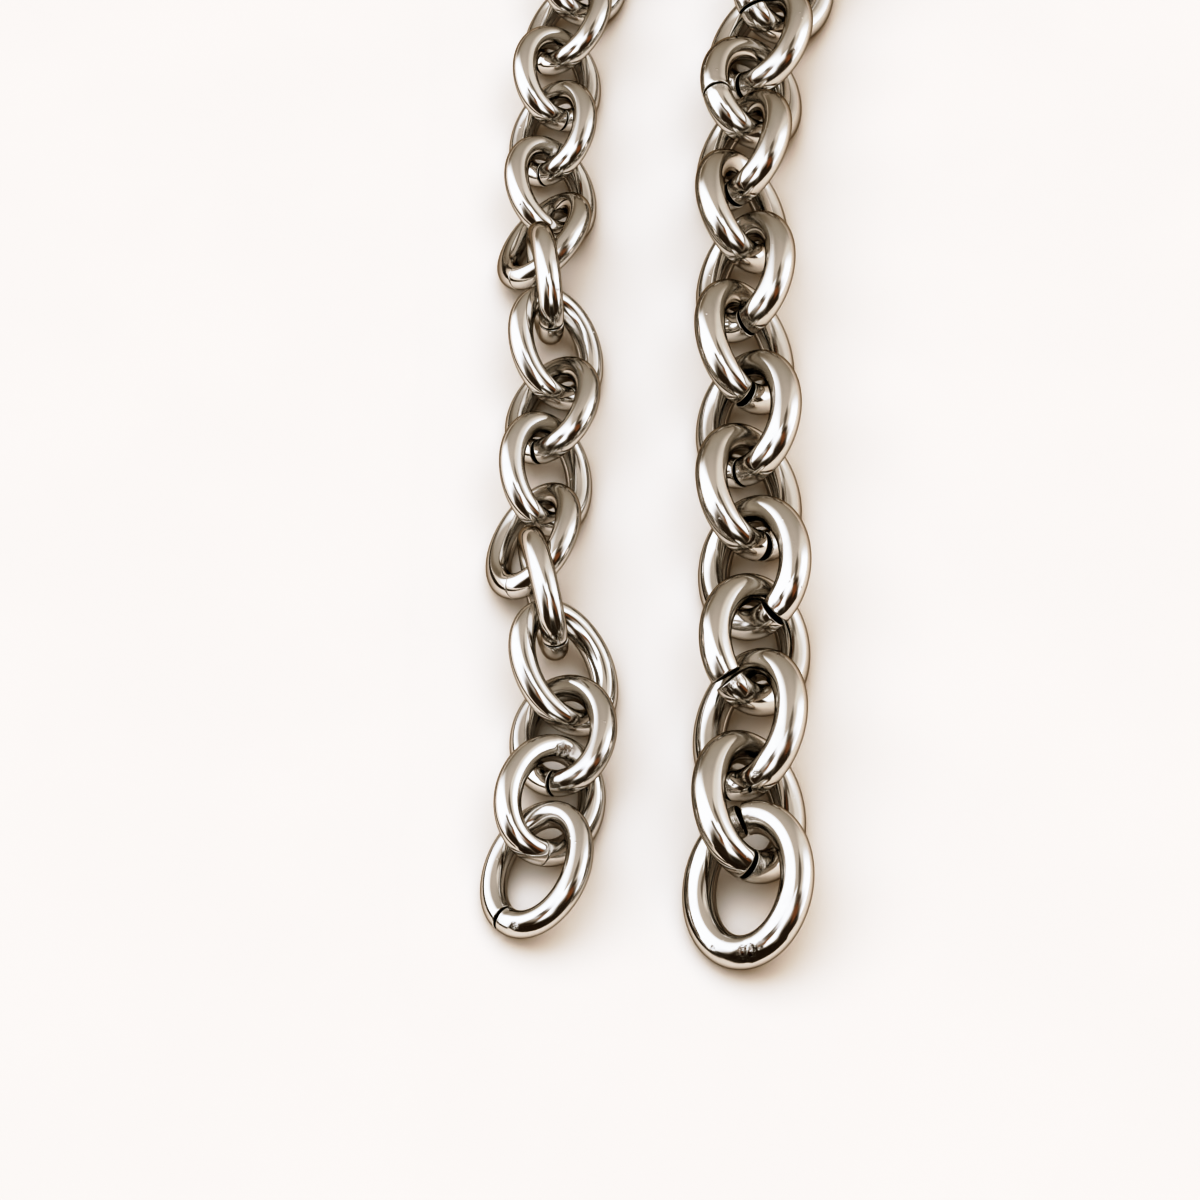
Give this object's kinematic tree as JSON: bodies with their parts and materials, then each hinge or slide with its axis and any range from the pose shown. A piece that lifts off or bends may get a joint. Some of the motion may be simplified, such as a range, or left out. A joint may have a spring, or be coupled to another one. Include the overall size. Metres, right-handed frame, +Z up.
{
  "type": "cut lengths of oval cable chain",
  "caption": "Cut lengths of bright nickel-plated oval cable chain, a heavy and a fine, lying side by side on a floor, for straps, pulls and light hanging.",
  "frame": {"origin": "on the floor under the middle of the box round both lengths", "axes": "+Y along the lengths from their near ends, +X from the fine length to the heavy one, +Z up from the floor"},
  "size_m": [0.0438, 0.1526, 0.0075],
  "materials": {
    "heavy_nickel": "bright nickel plate over drawn wire",
    "fine_nickel": "bright nickel plate over drawn wire"
  },
  "bodies": {
    "root": {"heavy_link_01": "heavy_nickel", "heavy_link_02": "heavy_nickel", "heavy_link_03": "heavy_nickel", "heavy_link_04": "heavy_nickel", "heavy_link_05": "heavy_nickel", "heavy_link_06": "heavy_nickel", "heavy_link_07": "heavy_nickel", "heavy_link_08": "heavy_nickel", "heavy_link_09": "heavy_nickel", "heavy_link_10": "heavy_nickel", "heavy_link_11": "heavy_nickel", "heavy_link_12": "heavy_nickel", "heavy_link_13": "heavy_nickel", "heavy_link_14": "heavy_nickel", "heavy_link_15": "heavy_nickel", "heavy_link_16": "heavy_nickel", "heavy_link_17": "heavy_nickel", "heavy_link_18": "heavy_nickel", "heavy_link_19": "heavy_nickel", "heavy_link_20": "heavy_nickel", "heavy_link_21": "heavy_nickel", "heavy_link_22": "heavy_nickel", "heavy_link_23": "heavy_nickel", "fine_link_01": "fine_nickel", "fine_link_02": "fine_nickel", "fine_link_03": "fine_nickel", "fine_link_04": "fine_nickel", "fine_link_05": "fine_nickel", "fine_link_06": "fine_nickel", "fine_link_07": "fine_nickel", "fine_link_08": "fine_nickel", "fine_link_09": "fine_nickel", "fine_link_10": "fine_nickel", "fine_link_11": "fine_nickel", "fine_link_12": "fine_nickel", "fine_link_13": "fine_nickel", "fine_link_14": "fine_nickel", "fine_link_15": "fine_nickel", "fine_link_16": "fine_nickel", "fine_link_17": "fine_nickel", "fine_link_18": "fine_nickel", "fine_link_19": "fine_nickel", "fine_link_20": "fine_nickel", "fine_link_21": "fine_nickel", "fine_link_22": "fine_nickel", "fine_link_23": "fine_nickel", "fine_link_24": "fine_nickel", "fine_link_25": "fine_nickel", "fine_link_26": "fine_nickel"}
  },
  "joints": []
}
